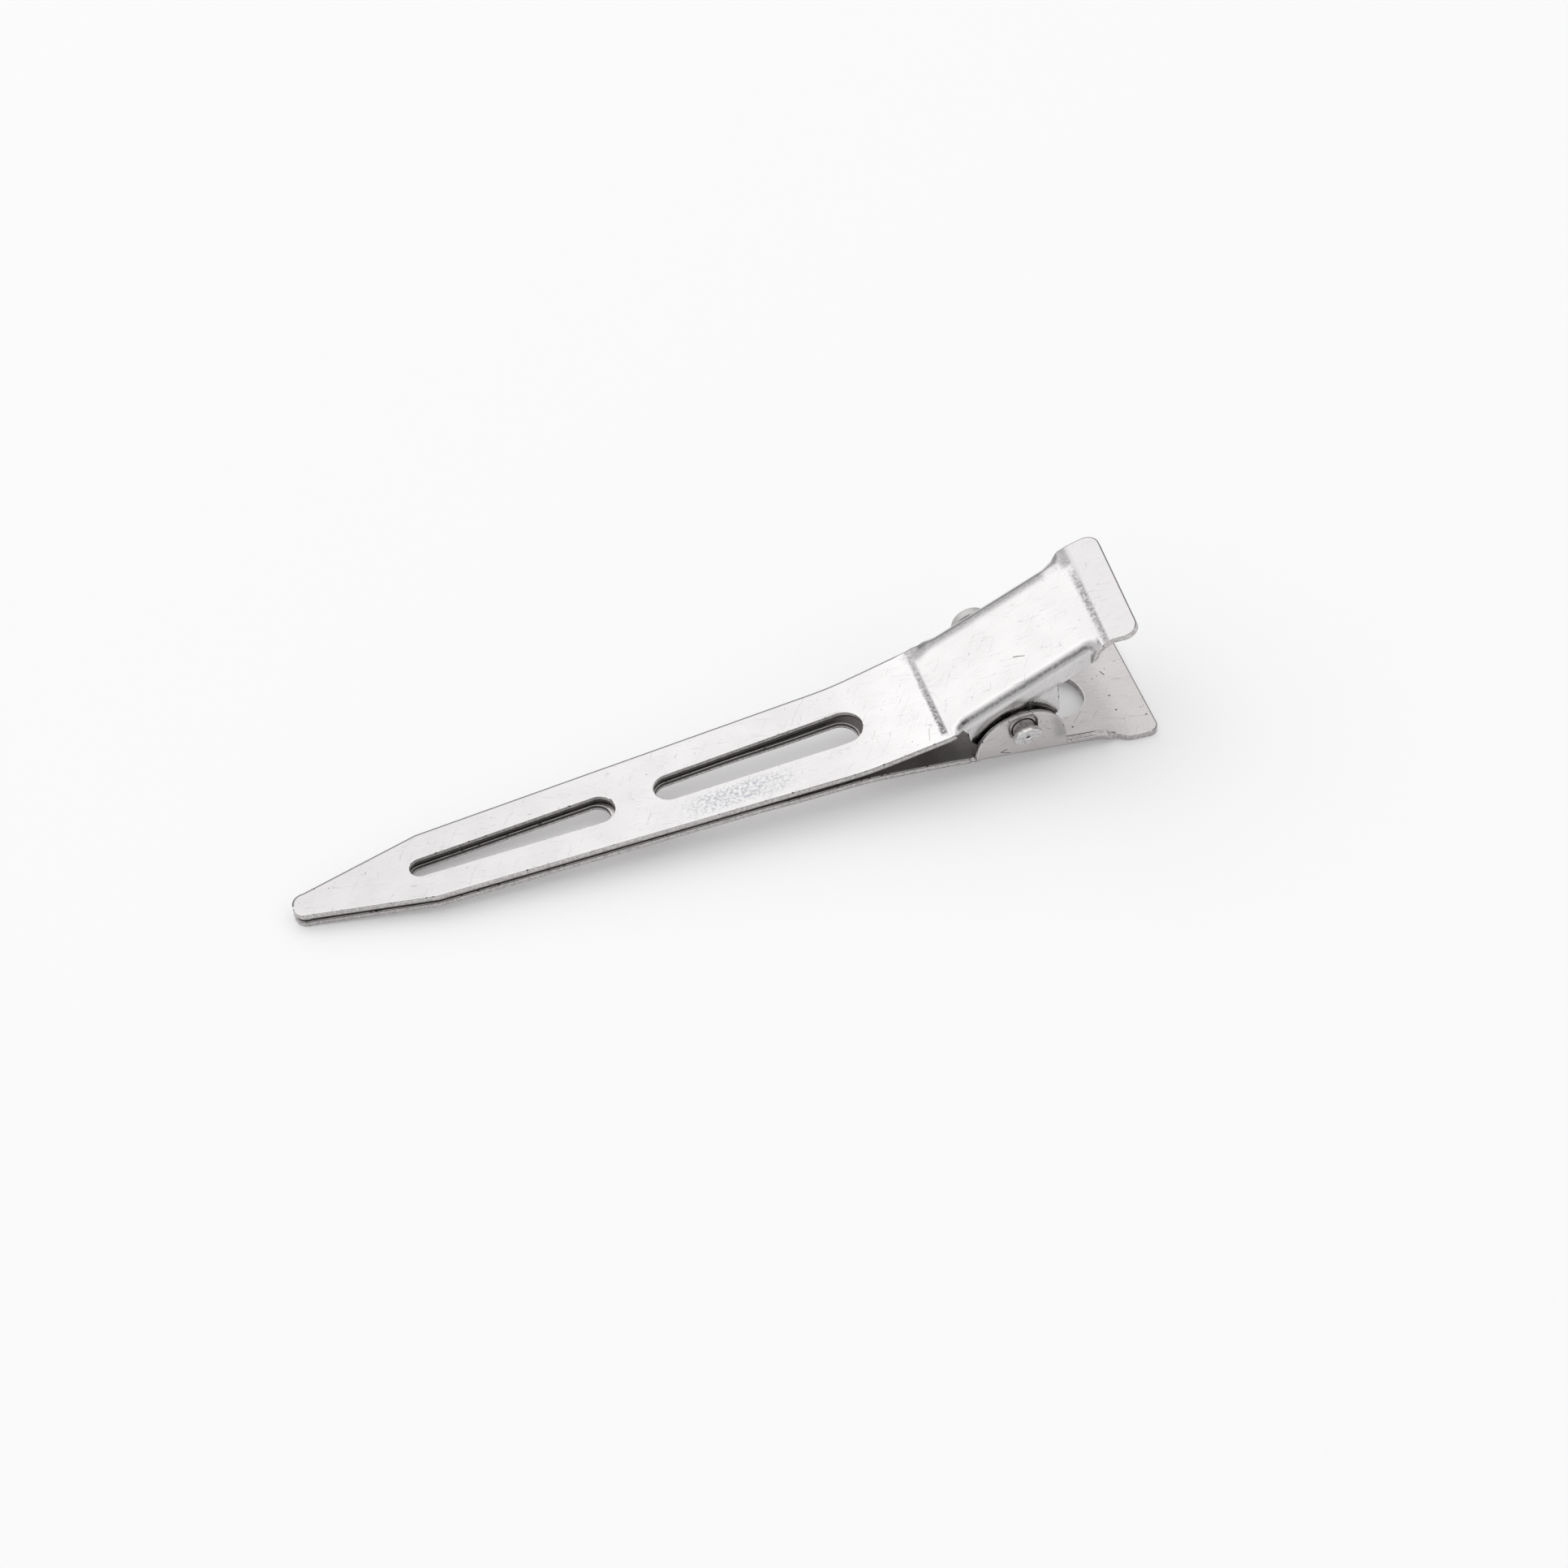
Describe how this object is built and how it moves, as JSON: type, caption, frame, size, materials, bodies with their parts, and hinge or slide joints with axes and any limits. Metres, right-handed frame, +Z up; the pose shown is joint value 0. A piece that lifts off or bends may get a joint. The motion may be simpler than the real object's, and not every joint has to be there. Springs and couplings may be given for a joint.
{
  "type": "hair clip",
  "caption": "Slim pressed-steel hair clip: two long slotted blades on one rivet, held shut by a leaf spring and opened by squeezing the tail tabs.",
  "frame": {"origin": "centre of the closed clip's footprint, on the surface it rests on", "axes": "+X from the blade tips to the tail tabs, +Y towards the rivet's head, +Z up"},
  "size_m": [0.08, 0.0158, 0.0143],
  "materials": {
    "upper_jaw": "bright nickel-plated sheet, faintly brushed along its length",
    "lower_jaw": "nickel-plated sheet, warm grey",
    "rivet": "bright plated rivet with a peened end",
    "spring": "dull spring steel"
  },
  "bodies": {
    "lower_half": {"lower_jaw": "lower_jaw", "pivot_rivet": "rivet", "leaf_spring": "spring"},
    "upper_half": {"upper_jaw": "upper_jaw"}
  },
  "joints": [
    {"name": "jaw_pivot", "type": "hinge", "parent": "lower_half", "child": "upper_half", "pos_m": [0.02718, -0.00078, 0.00481], "axis": [0, 1, 0], "range_deg": [0, 50], "stiffness_Nm_per_rad": 0.04, "springref_deg": -34.38, "deforming": ["leaf_spring"]}
  ]
}
